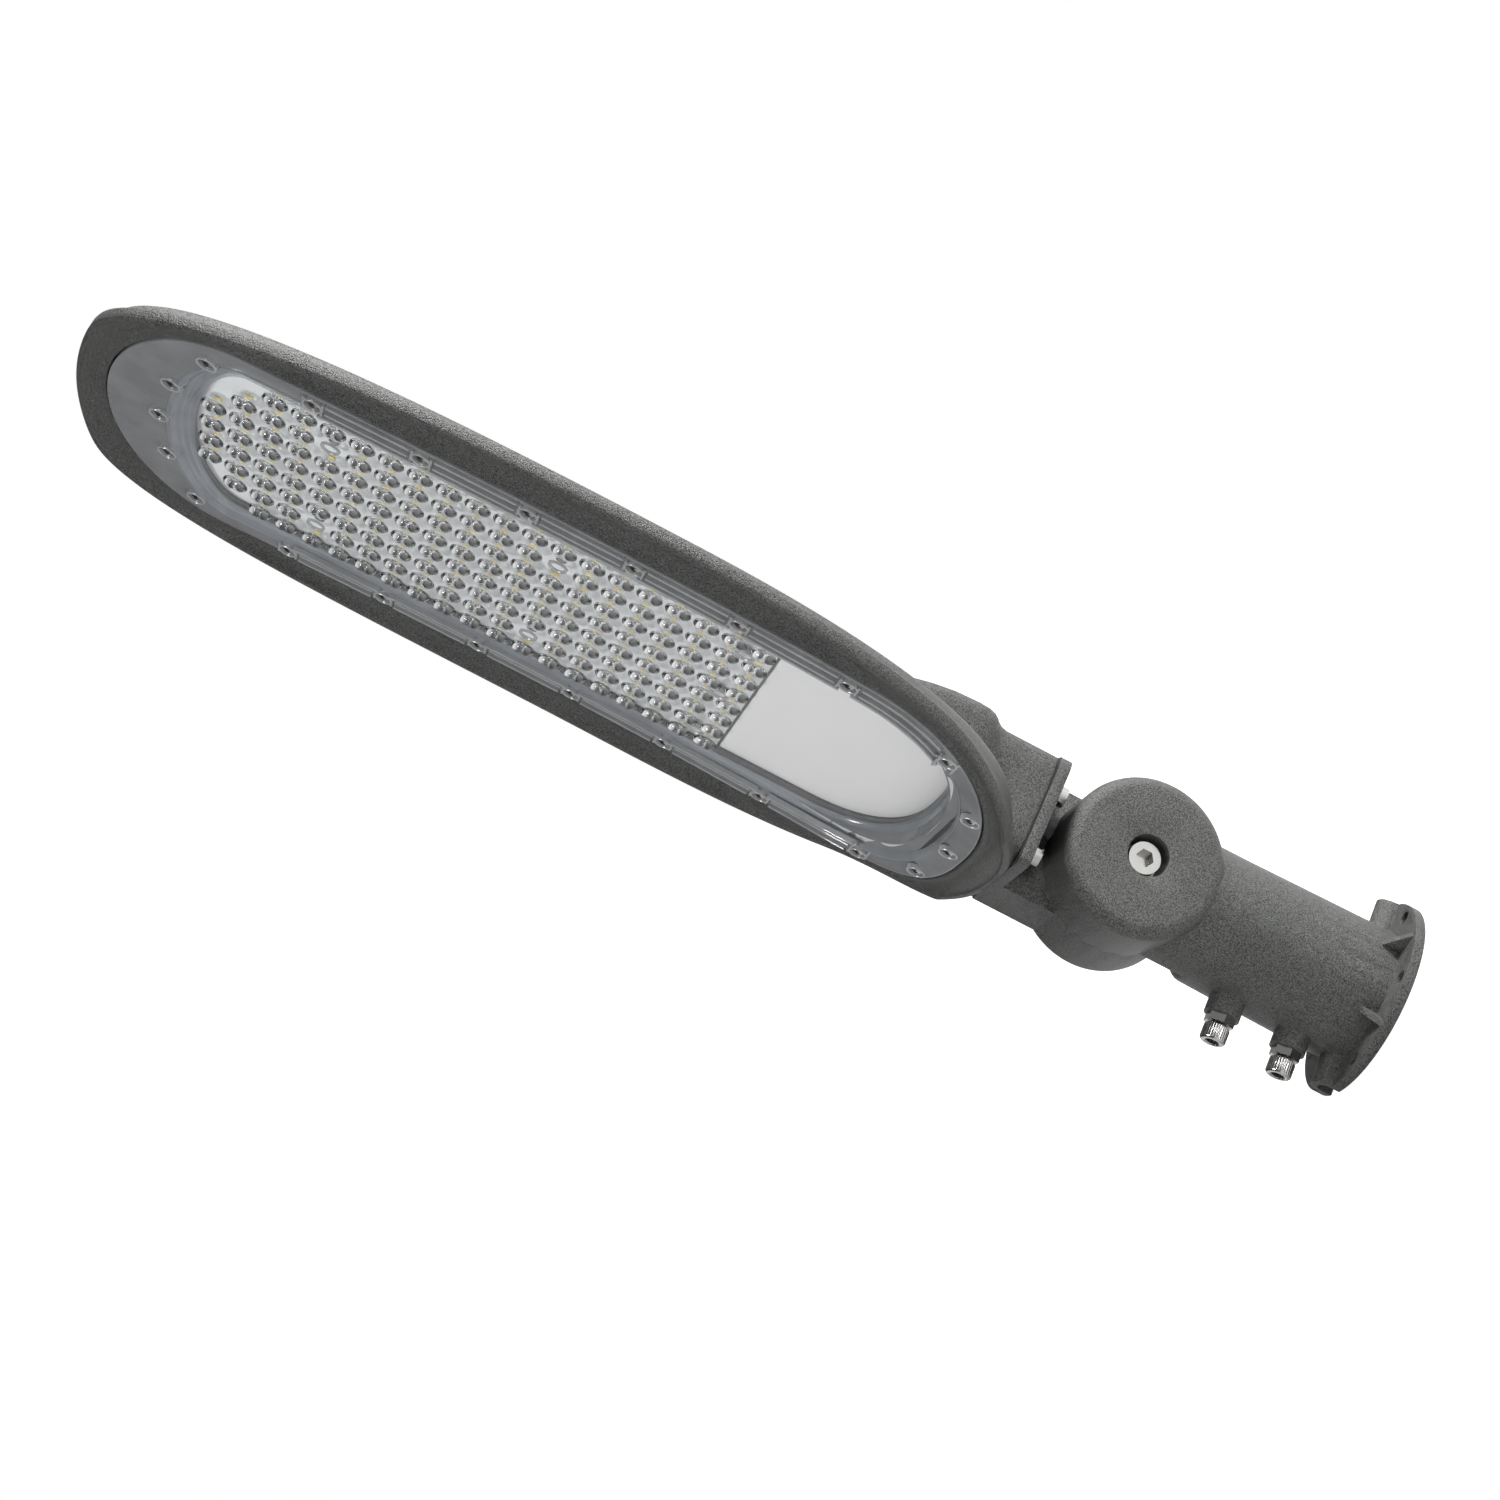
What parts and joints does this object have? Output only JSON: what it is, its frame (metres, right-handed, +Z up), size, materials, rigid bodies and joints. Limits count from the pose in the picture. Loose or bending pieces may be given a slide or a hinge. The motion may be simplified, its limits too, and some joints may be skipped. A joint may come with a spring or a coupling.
{
  "type": "led street light",
  "caption": "Die-cast LED street luminaire with a clear lensed cover, and a toothed tilting joint on a spigot that slips over the end of a pole.",
  "frame": {"origin": "centre of the spigot's open end, in the plane of the flange's underside, where the pole goes in", "axes": "+Z up along the spigot's axis towards the head, -Y the light-emitting face, +X the side the tilt bolt's head is on; the tilt axis is along X"},
  "size_m": [0.255, 0.1062, 0.6824],
  "materials": {
    "coat": "die-cast, sand-textured dark grey powder coat",
    "stainless": "bright stainless",
    "clear_pc": "clear polycarbonate, faintly smoky",
    "board": "white solder mask",
    "phosphor": "yellow phosphor",
    "white_sheet": "matte white",
    "driver_case": "dark anodised",
    "terminal": "matte",
    "black_plastic": "matte black nylon",
    "silicone": "pale silicone",
    "black_rubber": "matte"
  },
  "bodies": {
    "spigot": {"pole_spigot": "coat", "pivot_bolt": "stainless", "bolt_spring_washer": "stainless", "bolt_washer": "stainless", "jam_nuts": "stainless"},
    "head": {"housing": "coat", "cover_gasket": "silicone", "lens_cover": "clear_pc", "led_board": "board", "led_chips": "phosphor", "board_screws": "stainless", "driver_cover": "white_sheet", "led_driver": "driver_case", "driver_screws": "stainless", "terminal_block": "terminal", "cover_screws": "stainless", "neck_gasket": "black_rubber", "head_bracket": "coat", "bracket_screws": "stainless", "bracket_washers": "stainless", "cable_gland": "black_plastic", "pivot_nut": "stainless", "nut_washer": "stainless"},
    "upper_set_screw": {"set_screw_upper": "stainless"},
    "lower_set_screw": {"set_screw_lower": "stainless"}
  },
  "joints": [
    {"name": "head_tilt", "type": "hinge", "parent": "spigot", "child": "head", "pos_m": [0, 0, 0.136], "axis": [1, 0, 0], "range_deg": [-90, 90]},
    {"name": "upper_set_screw_travel", "type": "slide", "parent": "spigot", "child": "upper_set_screw", "axis": [0, 1, 0], "range_m": [-0.008, 0.001]},
    {"name": "lower_set_screw_travel", "type": "slide", "parent": "spigot", "child": "lower_set_screw", "axis": [0, 1, 0], "range_m": [-0.008, 0.001]}
  ]
}
